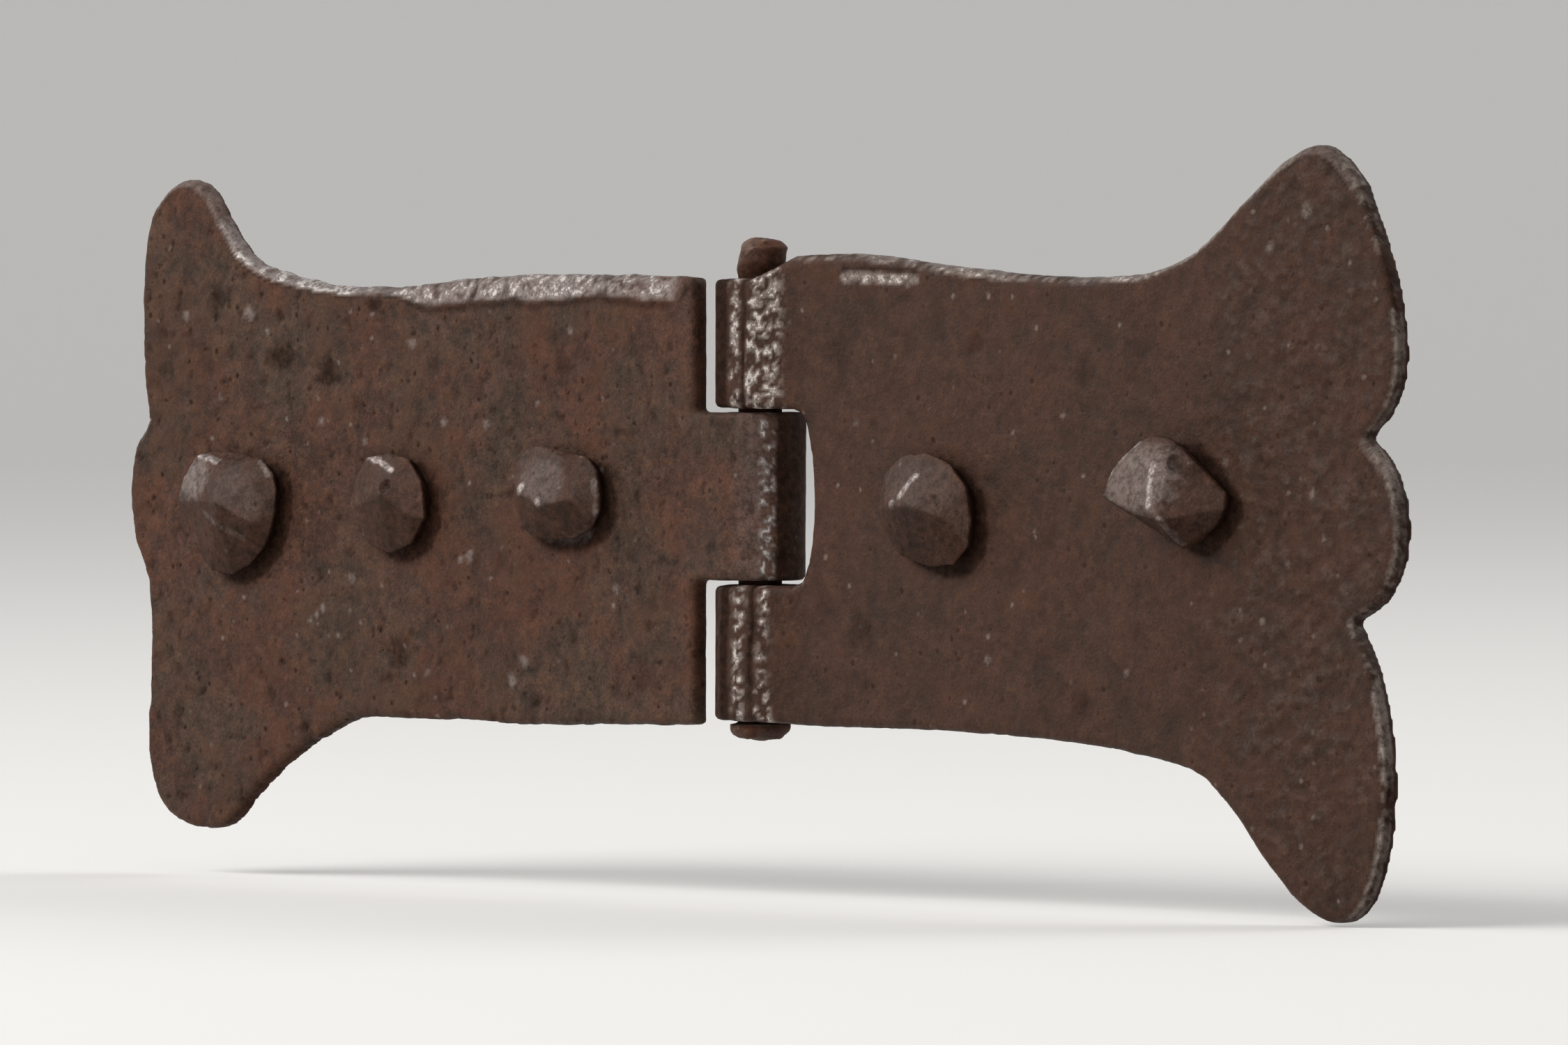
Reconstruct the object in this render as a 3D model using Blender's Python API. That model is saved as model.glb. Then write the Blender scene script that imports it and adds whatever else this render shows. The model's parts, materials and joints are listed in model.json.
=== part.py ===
"""Hand-forged iron leaf hinge for a cupboard door.

Two fish-tailed leaves are rolled round one upright pin: the frame leaf has the
top and bottom knuckles, the door leaf has the middle one. Rose-headed nails,
two in the frame leaf and three in the door leaf, hold them to the wood.

Frame of the part: +X runs along the frame leaf, away from the pin, +Y goes into
the wood and +Z is up. The origin is on the back of the frame leaf, halfway between
its two nails. The door is closed, and it opens towards -Y.

All sizes are in millimetres. make_object turns them into metres.
"""
from math import asin, atan2, cos, pi, radians, sin, sqrt

import bmesh
import bpy
from mathutils import Vector

METRE = 0.001                 # one millimetre, in Blender's units

# Plate and rolled eyes
PLATE = 2.0                   # thickness of both leaves
ARRIS = 0.4                   # chamfer along the front edges
EYE_R = 4.6                   # outside radius of the knuckles
EYE_MID_R = EYE_R - PLATE / 2
BEND = 9.0                    # length over which a leaf runs up to the knuckle's crest
CURL_GAP = 0.9                # left open between the curl's end and the leaf's back
EYE_STEP = radians(13)        # turn between two stations along the curl
BEND_STATIONS = 7             # stations along the run-up

# How far each leaf's front face stands in front of the pin's axis
FRAME_FRONT = 2.4
DOOR_FRONT = 4.2

# Knuckles, as heights above the nail line
TOP_KNUCKLE = (9.3, 22.3)
MIDDLE_KNUCKLE = (-7.9, 8.9)
BOTTOM_KNUCKLE = (-21.9, -8.3)
KNUCKLE_ROOT = 3.0            # the outer knuckles' ends run straight this far along the leaf

# Pin
PIN_R = 2.2
PIN_SIDES = 24
PIN_PROUD = 4.2               # standing out above the top knuckle
PIN_END_R = 2.4               # top end, spread a little by the hammer
PIN_SPREAD = 0.5              # height above the knuckle over which it spreads
PIN_ROUNDING = 0.9            # of the top end's rim
PIN_CROWN = 0.2               # rise of both ends towards their middles
PIN_LEAN = 0.8                # how far the top end is bent over to +X
PIN_FOOT_R = 3.1              # burr hammered on the bottom end
PIN_FOOT = 1.7                # the burr's height
PIN_FOOT_EDGE = 0.7           # the part of it that stands straight
FIT = 0.3                     # gap left between pieces that touch

# Nails, as (distance from the pin's axis along the leaf, height)
FRAME_NAILS = {"inner": (28.5, -0.3), "outer": (64.5, 0.6)}
DOOR_NAILS = {"inner": (24.5, 0.2), "middle": (51.0, -0.8), "outer": (76.4, -2.1)}
SHANK = 4.0                   # square shank under the head
SHANK_TIP = 1.0
SHANK_LENGTH = 28.0
HOLE = SHANK + 2 * 0.35       # square punched hole

# Place of the pin's axis in the part's frame
AXIS_X = -(FRAME_NAILS["inner"][0] + FRAME_NAILS["outer"][0]) / 2
AXIS_Y = FRAME_FRONT - PLATE

# Outlines of the leaves as (distance from the pin's axis, height). Each list is
# one smooth stretch, and the stretches meet in the notches beside the tail's lobe.
FRAME_UPPER_HORN = [
    (7.5, 24.5), (16.0, 24.7), (22.0, 24.4), (28.0, 23.7), (36.0, 23.1), (45.0, 22.6), (58.0, 23.0),
    (65.0, 25.2), (72.5, 30.3), (78.0, 34.1), (82.5, 35.3), (87.0, 32.6), (90.2, 27.0),
    (92.8, 20.0), (93.4, 14.0), (91.8, 10.0), (88.8, 7.2)]
FRAME_LOBE = [(88.8, 7.2), (91.6, 4.5), (93.3, 0.5), (93.1, -4.5), (90.7, -8.3), (87.0, -10.4)]
FRAME_LOWER_HORN = [
    (87.0, -10.4), (89.6, -15.0), (91.4, -21.5), (91.7, -28.0), (90.5, -34.0), (88.1, -38.2),
    (85.0, -39.4), (80.5, -38.0), (75.5, -34.0), (70.5, -29.0), (66.0, -25.8), (59.0, -24.2),
    (48.0, -23.0), (28.0, -22.2), (9.0, -22.2)]
FRAME_SLOT = [
    (7.2, -8.3), (8.6, -7.6), (9.9, -3.9), (10.3, 0.5), (9.9, 4.9), (8.6, 8.6), (7.2, 9.3)]

DOOR_CUT = 5.2                # the door leaf is cut back this far beside the outer knuckles
DOOR_UPPER_HORN = [
    (DOOR_CUT, 22.4), (20.0, 22.6), (38.0, 22.3), (52.0, 21.3), (62.0, 21.4), (70.0, 22.7),
    (75.0, 24.3), (78.2, 27.2), (81.4, 31.0), (84.4, 32.3), (87.6, 31.7), (90.4, 28.7),
    (91.7, 22.5), (91.6, 14.0), (90.8, 7.6)]
DOOR_LOBE = [(90.8, 7.6), (92.9, 4.6), (93.9, -0.3), (93.1, -5.2), (91.0, -9.2)]
DOOR_LOWER_HORN = [
    (91.0, -9.2), (90.5, -15.0), (90.8, -22.0), (91.0, -27.5), (89.0, -32.4), (84.5, -34.6),
    (78.5, -34.4), (74.0, -30.8), (69.0, -27.5), (63.5, -24.9), (58.0, -22.9), (50.0, -22.6),
    (30.0, -22.9), (DOOR_CUT, -22.4)]

# Nail heads. A head is a rim, as (sideways, up) points round the shank, and the
# hammered crown on it, as (sideways, up, height) points. Sideways is along +X.
RIM_HEIGHT = 1.1
RIM_FOOT = 0.86               # the underside is this much narrower than the rim
HEADS = {
    "frame_nail_inner": {
        "rim": [(-6.9, -0.2), (-6.0, 3.4), (-3.4, 5.2), (0.2, 5.6), (3.6, 4.5), (6.0, 2.1), (6.7, -0.9),
                (6.3, -3.6), (4.2, -5.5), (0.8, -5.8), (-3.6, -4.7), (-6.0, -2.3)],
        "crown": [(-4.9, 0.1, 2.3), (-2.4, 0.4, 3.5), (0.2, 3.1, 2.8), (1.9, 0.3, 4.2), (4.3, -0.7, 3.0)]},
    "frame_nail_outer": {
        "rim": [(-5.6, 0.2), (-5.2, 3.2), (-3.6, 5.9), (-0.9, 6.5), (1.3, 5.4), (6.9, 1.2), (6.8, -0.3),
                (5.7, -1.9), (3.5, -3.5), (0.9, -4.1), (-2.2, -2.9), (-4.6, -1.9)],
        "crown": [(-6.2, 0.7, 5.1), (-5.5, 2.7, 4.9), (-4.3, 4.4, 4.5), (-2.7, 6.0, 3.7), (-1.2, 6.6, 3.1),
                  (1.0, 6.4, 2.8), (2.6, 5.3, 2.6), (2.5, 3.3, 4.8), (1.9, -1.5, 5.4), (2.7, -4.0, 2.8),
                  (-1.9, -1.0, 5.2)]},
    "door_nail_inner": {
        "rim": [(-6.8, 1.6), (-6.3, 3.4), (-4.6, 4.8), (-2.4, 5.2), (0.8, 4.6), (4.6, 4.1), (6.1, 2.8),
                (6.6, 0.5), (6.5, -1.5), (5.3, -3.2), (2.6, -4.2), (-0.4, -4.4), (-3.3, -4.3), (-5.4, -3.1),
                (-6.4, -0.7)],
        "crown": [(-4.1, 0.6, 2.7), (-0.5, -0.8, 3.2), (2.7, 3.8, 2.4), (4.3, -0.1, 3.1), (1.0, -3.4, 1.9),
                  (5.5, -2.4, 1.7)]},
    "door_nail_middle": {
        "rim": [(-5.8, -0.6), (-5.0, 2.3), (-2.7, 4.7), (0.5, 5.2), (3.5, 4.7), (5.6, 2.2), (6.1, -1.4),
                (3.9, -4.1), (0.8, -5.2), (-2.1, -4.6), (-4.4, -2.9)],
        "crown": [(-2.3, 4.6, 1.7), (2.6, 3.6, 2.0), (1.6, 1.0, 3.3), (-3.4, -0.2, 2.1), (4.8, -1.2, 2.0)]},
    "door_nail_outer": {
        "rim": [(-7.2, 1.4), (-6.6, 3.6), (-4.6, 6.0), (-1.3, 6.4), (2.3, 6.2), (5.8, 5.6), (7.5, 4.2),
                (8.0, 2.3), (7.8, 0.2), (7.1, -1.8), (6.1, -3.5), (3.7, -5.4), (0.8, -6.5), (-2.4, -6.1),
                (-3.9, -4.6), (-5.0, -1.8)],
        "crown": [(-6.0, 1.2, 2.6), (-5.4, 3.5, 2.4), (-3.5, 5.9, 1.9), (1.1, 5.2, 2.9), (2.3, 1.2, 4.5),
                  (5.5, -0.7, 2.9), (-2.2, -2.0, 2.4)]},
}

IRON = (0.075, 0.058, 0.050, 1.0)
RUSTED_IRON = (0.095, 0.060, 0.045, 1.0)
METALLIC = 0.6                # less than bare iron, because of the rust


# ---- small tools ---------------------------------------------------------

def clear_scene():
    for obj in list(bpy.data.objects):
        bpy.data.objects.remove(obj, do_unlink=True)


def iron_material(name, colour, roughness):
    material = bpy.data.materials.new(name)
    material.use_nodes = True
    shader = material.node_tree.nodes["Principled BSDF"]
    shader.inputs["Base Color"].default_value = colour
    shader.inputs["Metallic"].default_value = METALLIC
    shader.inputs["Roughness"].default_value = roughness
    return material


def make_object(name, bm, material, parent, place=(0.0, 0.0, 0.0)):
    """Finish a bmesh drawn in millimetres as an object under its parent."""
    bmesh.ops.recalc_face_normals(bm, faces=bm.faces[:])
    bmesh.ops.scale(bm, vec=(METRE, METRE, METRE), verts=bm.verts[:])
    mesh = bpy.data.meshes.new(name)
    bm.to_mesh(mesh)
    bm.free()
    mesh.materials.append(material)
    obj = bpy.data.objects.new(name, mesh)
    bpy.context.collection.objects.link(obj)
    obj.parent = parent
    obj.location = Vector(place) * METRE
    return obj


def shade_round(obj, sharp_over):
    obj.data.shade_smooth()
    obj.data.set_sharp_from_angle(angle=sharp_over)


def pivot(name):
    """Empty on the pin's axis, which carries one side of the hinge."""
    empty = bpy.data.objects.new(name, None)
    bpy.context.collection.objects.link(empty)
    empty.location = Vector((AXIS_X, AXIS_Y, 0.0)) * METRE
    return empty


def smooth_stretch(points, steps=4):
    """Centripetal Catmull-Rom curve through the points, without the last one."""
    knots = [Vector(point) for point in points]
    knots = [2 * knots[0] - knots[1]] + knots + [2 * knots[-1] - knots[-2]]
    curve = []
    for p0, p1, p2, p3 in zip(knots, knots[1:], knots[2:], knots[3:]):
        t0 = 0.0
        t1 = t0 + sqrt((p1 - p0).length)
        t2 = t1 + sqrt((p2 - p1).length)
        t3 = t2 + sqrt((p3 - p2).length)
        for step in range(steps):
            t = t1 + (t2 - t1) * step / steps
            a1 = p0.lerp(p1, (t - t0) / (t1 - t0))
            a2 = p1.lerp(p2, (t - t1) / (t2 - t1))
            a3 = p2.lerp(p3, (t - t2) / (t3 - t2))
            b1 = a1.lerp(a2, (t - t0) / (t2 - t0))
            b2 = a2.lerp(a3, (t - t1) / (t3 - t1))
            curve.append(b1.lerp(b2, (t - t1) / (t2 - t1)))
    return curve


def moved_in(outline, width):
    """The closed clockwise outline, moved in by a width with mitred corners."""
    moved = []
    for before, point, after in zip(outline[-1:] + outline, outline, outline[1:] + outline[:1]):
        along_in = (point - before).normalized()
        along_out = (after - point).normalized()
        normal_in = Vector((along_in.y, -along_in.x))
        normal_out = Vector((along_out.y, -along_out.x))
        mitre = normal_in + normal_out
        moved.append(point + mitre * (width / max(mitre.dot(normal_in), 0.6)))
    return moved


def ring(bm, outline, height):
    """Closed loop of an outline at one height; returns its vertices and edges."""
    verts = [bm.verts.new((point[0], point[1], height)) for point in outline]
    edges = [bm.edges.new(pair) for pair in zip(verts, verts[1:] + verts[:1])]
    return verts, edges


def wall(bm, lower, upper):
    """Quads between two rings with the same number of vertices."""
    count = len(lower)
    for i in range(count):
        j = (i + 1) % count
        bm.faces.new((lower[i], lower[j], upper[j], upper[i]))


def square(centre, width):
    half = width / 2
    corners = ((-half, -half), (half, -half), (half, half), (-half, half))
    return [Vector((centre[0] + dx, centre[1] + dz)) for dx, dz in corners]


# ---- leaves --------------------------------------------------------------

def front_height(front, s):
    """How far the front face stands in front of the axis, s along the leaf."""
    share = min(s / BEND, 1.0)
    return front + (EYE_R - front) * 0.5 * (1 + cos(pi * share))


def curl_length(front):
    """Length of plate rolled from the crest round to just behind the leaf."""
    end = asin((front_height(front, EYE_R) - PLATE - CURL_GAP) / EYE_R)
    return EYE_MID_R * (1.5 * pi + end)


def rolled(front, s, n):
    """Section of a leaf: (s along the blank, n above its back) once it is rolled."""
    depth = PLATE - n
    if s >= 0:
        return s, front_height(front, s) - depth
    turn = pi / 2 - s / EYE_MID_R
    radius = EYE_R - depth
    return radius * cos(turn), radius * sin(turn)


def leaf(name, outline, nails, front, side, material, parent):
    """A leaf cut as a flat blank, chamfered, punched, and rolled round the pin.

    The blank lies in x (along the leaf) and y (up), with its back at z = 0.
    side is 1 for a leaf that runs to +X from the pin, and -1 for one to -X.
    """
    bm = bmesh.new()
    back, back_edges = ring(bm, outline, 0.0)
    shoulder, _ = ring(bm, outline, PLATE - ARRIS)
    face, face_edges = ring(bm, moved_in(outline, ARRIS), PLATE)
    wall(bm, back, shoulder)
    wall(bm, shoulder, face)
    for place in nails.values():
        hole = square(place, HOLE)
        hole_back, hole_back_edges = ring(bm, hole, 0.0)
        hole_face, hole_face_edges = ring(bm, hole, PLATE)
        wall(bm, hole_back, hole_face)
        back_edges += hole_back_edges
        face_edges += hole_face_edges
    for edges in (back_edges, face_edges):
        bmesh.ops.triangle_fill(bm, use_beauty=True, edges=edges)

    curl = curl_length(front)
    turns = round(curl / (EYE_MID_R * EYE_STEP))
    stations = [-curl * i / turns for i in range(turns)]
    stations += [BEND * (i + 1) / BEND_STATIONS for i in range(BEND_STATIONS)]
    for s in stations:
        everything = bm.verts[:] + bm.edges[:] + bm.faces[:]
        bmesh.ops.bisect_plane(bm, geom=everything, dist=1e-5, plane_co=(s, 0, 0), plane_no=(1, 0, 0))

    for vert in bm.verts:
        s, height, n = vert.co
        u, out = rolled(front, s, n)
        vert.co = (side * u, -out, height)
    obj = make_object(name, bm, material, parent)
    shade_round(obj, radians(30))
    return obj


def frame_leaf_outline():
    """Clockwise from the bottom knuckle: two tabs with the slot between them."""
    end = -curl_length(FRAME_FRONT)
    outline = [Vector((end, BOTTOM_KNUCKLE[0])), Vector((end, BOTTOM_KNUCKLE[1]))]
    outline += smooth_stretch(FRAME_SLOT) + [Vector(FRAME_SLOT[-1])]
    outline += [Vector((end, TOP_KNUCKLE[0])), Vector((end, TOP_KNUCKLE[1]))]
    outline += [Vector((KNUCKLE_ROOT, TOP_KNUCKLE[1]))]
    outline += smooth_stretch(FRAME_UPPER_HORN)
    outline += smooth_stretch(FRAME_LOBE)
    outline += smooth_stretch(FRAME_LOWER_HORN) + [Vector(FRAME_LOWER_HORN[-1])]
    outline += [Vector((KNUCKLE_ROOT, BOTTOM_KNUCKLE[0]))]
    return outline


def door_leaf_outline():
    """Clockwise from the middle knuckle's tab."""
    end = -curl_length(DOOR_FRONT)
    low, high = MIDDLE_KNUCKLE
    outline = [Vector((DOOR_CUT, low)), Vector((end, low)), Vector((end, high)), Vector((DOOR_CUT, high))]
    outline += smooth_stretch(DOOR_UPPER_HORN)
    outline += smooth_stretch(DOOR_LOBE)
    outline += smooth_stretch(DOOR_LOWER_HORN) + [Vector(DOOR_LOWER_HORN[-1])]
    return outline


# ---- pin and nails -------------------------------------------------------

def hinge_pin(material, parent):
    """Round rod with a hammered top end and a burr on its bottom end."""
    top = TOP_KNUCKLE[1] + PIN_PROUD
    neck = TOP_KNUCKLE[1] + FIT
    foot = BOTTOM_KNUCKLE[0] - FIT
    bottom = foot - PIN_FOOT
    spread = neck + PIN_SPREAD
    profile = [
        (0.0, top), (PIN_END_R - PIN_ROUNDING, top - PIN_CROWN), (PIN_END_R, top - PIN_ROUNDING),
        (PIN_END_R, spread), (PIN_R, neck), (PIN_R, foot), (PIN_FOOT_R, foot),
        (PIN_FOOT_R, foot - PIN_FOOT_EDGE), (PIN_R, bottom + PIN_CROWN), (0.0, bottom)]
    bm = bmesh.new()
    verts = [bm.verts.new((radius, 0.0, z)) for radius, z in profile]
    edges = [bm.edges.new(pair) for pair in zip(verts, verts[1:])]
    bmesh.ops.spin(bm, geom=verts + edges, cent=(0, 0, 0), axis=(0, 0, 1), angle=2 * pi, steps=PIN_SIDES)
    bmesh.ops.remove_doubles(bm, verts=bm.verts[:], dist=1e-4)
    for vert in bm.verts:
        vert.co.x += PIN_LEAN * max(0.0, vert.co.z - spread) / (top - spread)
    obj = make_object("hinge_pin", bm, material, parent)
    shade_round(obj, radians(35))


def nail(name, place, front, side, material, parent):
    """Forged nail: a faceted head on the leaf's front, and a square tapered shank.

    It is drawn with z as the height above the head's underside.
    """
    head = HEADS[name]
    rim = sorted(head["rim"], key=lambda point: atan2(point[1], point[0]))
    bm = bmesh.new()
    for x, y in rim:
        bm.verts.new((x * RIM_FOOT, y * RIM_FOOT, 0.0))
        bm.verts.new((x, y, RIM_HEIGHT))
    for point in head["crown"]:
        bm.verts.new(point)
    hull = bmesh.ops.convex_hull(bm, input=bm.verts[:])
    spare = [item for item in hull["geom_interior"] if isinstance(item, bmesh.types.BMVert)]
    bmesh.ops.delete(bm, geom=spare, context="VERTS")
    underside = [face for face in bm.faces if all(abs(vert.co.z) < 1e-6 for vert in face.verts)]
    bmesh.ops.delete(bm, geom=underside, context="FACES_ONLY")
    rim_edges = [edge for edge in bm.edges if len(edge.link_faces) < 2]
    inner = [edge for edge in rim_edges if not edge.link_faces]
    bmesh.ops.delete(bm, geom=inner, context="EDGES")
    rim_edges = [edge for edge in bm.edges if len(edge.link_faces) == 1]

    neck, neck_edges = ring(bm, square((0.0, 0.0), SHANK), 0.0)
    tip, _ = ring(bm, square((0.0, 0.0), SHANK_TIP), -SHANK_LENGTH)
    wall(bm, neck, tip)
    bm.faces.new(tip)
    bmesh.ops.triangle_fill(bm, use_beauty=True, edges=rim_edges + neck_edges)

    for vert in bm.verts:
        x, y, z = vert.co
        vert.co = (x, -z, y)
    seat = (side * place[0], -(front + FIT), place[1])
    make_object(name, bm, material, parent, seat)


# ---- the hinge -----------------------------------------------------------

clear_scene()
frame_iron = iron_material("frame_iron", IRON, 0.55)
door_iron = iron_material("door_iron", RUSTED_IRON, 0.65)
pin_iron = iron_material("pin_iron", IRON, 0.5)
nail_iron = iron_material("nail_iron", IRON, 0.5)

frame_side = pivot("frame_side")
door_side = pivot("door_side")

leaf("frame_leaf", frame_leaf_outline(), FRAME_NAILS, FRAME_FRONT, 1, frame_iron, frame_side)
leaf("door_leaf", door_leaf_outline(), DOOR_NAILS, DOOR_FRONT, -1, door_iron, door_side)
hinge_pin(pin_iron, frame_side)
for which, place in FRAME_NAILS.items():
    nail("frame_nail_" + which, place, FRAME_FRONT, 1, nail_iron, frame_side)
for which, place in DOOR_NAILS.items():
    nail("door_nail_" + which, place, DOOR_FRONT, -1, nail_iron, door_side)
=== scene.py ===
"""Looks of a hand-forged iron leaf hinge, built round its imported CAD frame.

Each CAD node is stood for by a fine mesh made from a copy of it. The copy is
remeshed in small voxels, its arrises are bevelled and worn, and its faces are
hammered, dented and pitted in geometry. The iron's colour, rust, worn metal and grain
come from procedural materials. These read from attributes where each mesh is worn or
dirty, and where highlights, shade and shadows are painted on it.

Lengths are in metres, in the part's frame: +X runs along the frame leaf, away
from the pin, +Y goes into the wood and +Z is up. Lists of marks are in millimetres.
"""
import json
import math

import bmesh
import bpy
import numpy as np
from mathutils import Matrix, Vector, noise
from mathutils.bvhtree import BVHTree


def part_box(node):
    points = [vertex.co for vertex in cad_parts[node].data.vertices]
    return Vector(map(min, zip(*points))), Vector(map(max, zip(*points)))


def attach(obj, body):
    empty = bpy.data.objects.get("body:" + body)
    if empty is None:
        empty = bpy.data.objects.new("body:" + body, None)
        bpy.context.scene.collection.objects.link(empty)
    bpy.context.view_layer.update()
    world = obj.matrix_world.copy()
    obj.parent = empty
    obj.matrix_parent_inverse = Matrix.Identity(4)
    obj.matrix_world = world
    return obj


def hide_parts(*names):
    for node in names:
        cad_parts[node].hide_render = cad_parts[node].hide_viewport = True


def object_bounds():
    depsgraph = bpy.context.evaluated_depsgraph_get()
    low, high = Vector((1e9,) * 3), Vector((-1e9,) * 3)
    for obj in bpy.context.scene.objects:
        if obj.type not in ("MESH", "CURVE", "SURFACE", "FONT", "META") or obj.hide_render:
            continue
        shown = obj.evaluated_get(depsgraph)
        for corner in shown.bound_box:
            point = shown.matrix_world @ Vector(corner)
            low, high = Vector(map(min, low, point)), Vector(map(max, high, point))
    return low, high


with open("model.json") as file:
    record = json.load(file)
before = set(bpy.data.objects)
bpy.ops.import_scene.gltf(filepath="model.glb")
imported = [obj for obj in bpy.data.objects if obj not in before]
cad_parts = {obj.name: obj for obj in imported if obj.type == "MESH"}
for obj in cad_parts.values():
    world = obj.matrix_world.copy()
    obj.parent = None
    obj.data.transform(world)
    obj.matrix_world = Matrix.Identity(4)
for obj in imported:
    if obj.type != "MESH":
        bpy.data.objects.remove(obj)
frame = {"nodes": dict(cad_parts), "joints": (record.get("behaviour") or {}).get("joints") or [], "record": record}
cad_low, cad_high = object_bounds()

MM = 0.001
RECORD = frame["record"]
AXIS = Vector(frame["joints"][0]["pos_m"])
BODY_OF = {node: body for body, nodes in RECORD["behaviour"]["bodies"].items() for node in nodes}
BACK_OF = {mount["name"]: mount["pos_m"][1] for mount in RECORD["mounts"]}

# Sizes that the CAD gives to the iron
PLATE = 2.0 * MM              # thickness of a leaf
EYE_R = 4.6 * MM              # outside radius of the knuckles
NAIL_LIFT = 0.3 * MM          # gap that the CAD leaves under a nail's head
TOP_KNUCKLE = (9.3, 22.3)     # heights in mm
BOTTOM_KNUCKLE = (-21.9, -8.3)
WELD = 0.002 * MM             # joins the vertices that the file format repeats

# Fineness of the meshes
LEAF_VOXEL = 0.34 * MM
PIN_VOXEL = 0.25 * MM
NAIL_VOXEL = 0.18 * MM
OUTLINE_WAYS = 48             # directions in which a nail head's outline is measured

# The photograph's view of the hinge: camera to the right of the front's normal
CAMERA_AZIMUTH = math.radians(48.1)
CAMERA_ELEVATION = math.radians(1.0)
CAMERA_DISTANCE = 1.55
SENSOR = 36.0
FRAME_FILL = 0.80             # share of the picture's width that the hinge takes


# ---- meshes as arrays ----------------------------------------------------

def read_points(mesh):
    co = np.empty(len(mesh.vertices) * 3, np.float32)
    mesh.vertices.foreach_get("co", co)
    return co.reshape(-1, 3).astype(float)


def read_normals(mesh):
    normals = np.empty(len(mesh.vertices) * 3, np.float32)
    mesh.vertices.foreach_get("normal", normals)
    return normals.reshape(-1, 3).astype(float)


def write_points(mesh, co):
    mesh.vertices.foreach_set("co", co.astype(np.float32).ravel())
    mesh.update()


def read_edges(mesh):
    edges = np.empty(len(mesh.edges) * 2, np.int32)
    mesh.edges.foreach_get("vertices", edges)
    return edges.reshape(-1, 2)


def neighbour_mean(co, edges):
    """Mean of each vertex's neighbours."""
    a, b = edges[:, 0], edges[:, 1]
    count = np.bincount(a, minlength=len(co)) + np.bincount(b, minlength=len(co))
    total = np.empty_like(co)
    for k in range(co.shape[1]):
        total[:, k] = np.bincount(a, weights=co[b, k], minlength=len(co))
        total[:, k] += np.bincount(b, weights=co[a, k], minlength=len(co))
    return total / np.maximum(count, 1)[:, None]


def relaxed(co, edges, weight, rounds):
    """The points after rounds of smoothing, each vertex by its own weight."""
    for _ in range(rounds):
        co = co + (neighbour_mean(co, edges) - co) * (0.5 * weight)[:, None]
    return co


def store(mesh, name, values):
    attribute = mesh.attributes.new(name, "FLOAT", "POINT")
    attribute.data.foreach_set("value", np.clip(values, 0, 1).astype(np.float32))


def step_up(values, low, high):
    """Smooth step from 0 at low to 1 at high."""
    t = np.clip((values - low) / (high - low), 0, 1)
    return t * t * (3 - 2 * t)


def bump_at(values, centre, half_width):
    """1 at the centre, falling smoothly to 0 at half_width from it."""
    return 1 - step_up(np.abs(values - centre), 0, half_width)


def grain(co, size, octaves=1, seed=0):
    """Fractal noise, about -1 to 1, with features of that size."""
    shift = Vector((17.3, -9.1, 4.7)) * seed
    dimension, lacunarity = 0.9, 2.1
    return np.array([noise.fractal(Vector(p) / size + shift, dimension, lacunarity, octaves) for p in co])


def dishes(co, size, seed=0):
    """Shallow hammered dishes: 0 in the middle of each, up to about 1 on the ridges."""
    shift = Vector((3.1, 11.7, -5.3)) * seed
    nearest = [noise.voronoi(Vector(p) / size + shift)[0][0] for p in co]
    return np.minimum(np.array(nearest), 1) ** 2


def convexity(co, normals, edges, voxel):
    """How much each vertex stands out from its neighbours, in voxels."""
    return ((co - neighbour_mean(co, edges)) * normals).sum(1) / voxel


def distance_to_line(co, start, end):
    """Distance of each point from the straight line between two places."""
    line = end - start
    share = np.clip((co - start) @ line / (line @ line), 0, 1)
    return np.linalg.norm(co - start - share[:, None] * line, axis=1)


def copy_of(node):
    """The CAD node's mesh with the seams of its file format welded."""
    bm = bmesh.new()
    bm.from_mesh(frame["nodes"][node].data)
    bmesh.ops.remove_doubles(bm, verts=bm.verts[:], dist=WELD)
    return bm


def fine_piece(node, voxel, smoothing):
    """An object whose mesh is the CAD node's shape in small even quads."""
    bm = copy_of(node)
    coarse = bpy.data.meshes.new(node + "_coarse")
    bm.to_mesh(coarse)
    bm.free()
    piece = bpy.data.objects.new(node + "_forged", coarse)
    bpy.context.scene.collection.objects.link(piece)
    remesh = piece.modifiers.new("voxels", "REMESH")
    remesh.mode = "VOXEL"
    remesh.voxel_size = voxel
    relax = piece.modifiers.new("relax", "SMOOTH")
    relax.factor = 0.5
    relax.iterations = smoothing
    bpy.context.view_layer.update()
    depsgraph = bpy.context.evaluated_depsgraph_get()
    fine = bpy.data.meshes.new_from_object(piece.evaluated_get(depsgraph))
    piece.modifiers.clear()
    piece.data = fine
    fine.name = node + "_forged"
    fine.shade_smooth()
    return piece


def wall_tree(node, side):
    """Search tree of the leaf's edge walls beyond its knuckles."""
    bm = copy_of(node)
    bm.verts.index_update()
    verts = [vert.co.copy() for vert in bm.verts]
    walls = []
    for face in bm.faces:
        beyond_knuckle = side * (face.calc_center_median().x - AXIS.x) > EYE_R
        if abs(face.normal.y) < 0.3 and beyond_knuckle:
            walls.append([vert.index for vert in face.verts])
    bm.free()
    return BVHTree.FromPolygons(verts, walls)


def beyond_head(node, co, shift):
    """How far outside a nail head's outline each point lies, seen from the front.

    The outline is moved by shift, as (sideways, up), before it is measured against.
    """
    mesh = frame["nodes"][node].data
    head = read_points(mesh)[:, [0, 2]] + np.array(shift)
    turn = np.linspace(0, 2 * math.pi, OUTLINE_WAYS, endpoint=False)
    ways = np.stack([np.cos(turn), np.sin(turn)])
    reach = (head @ ways).max(0)
    return (co[:, [0, 2]] @ ways - reach).max(1)


# ---- forging: leaves -----------------------------------------------------

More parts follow.
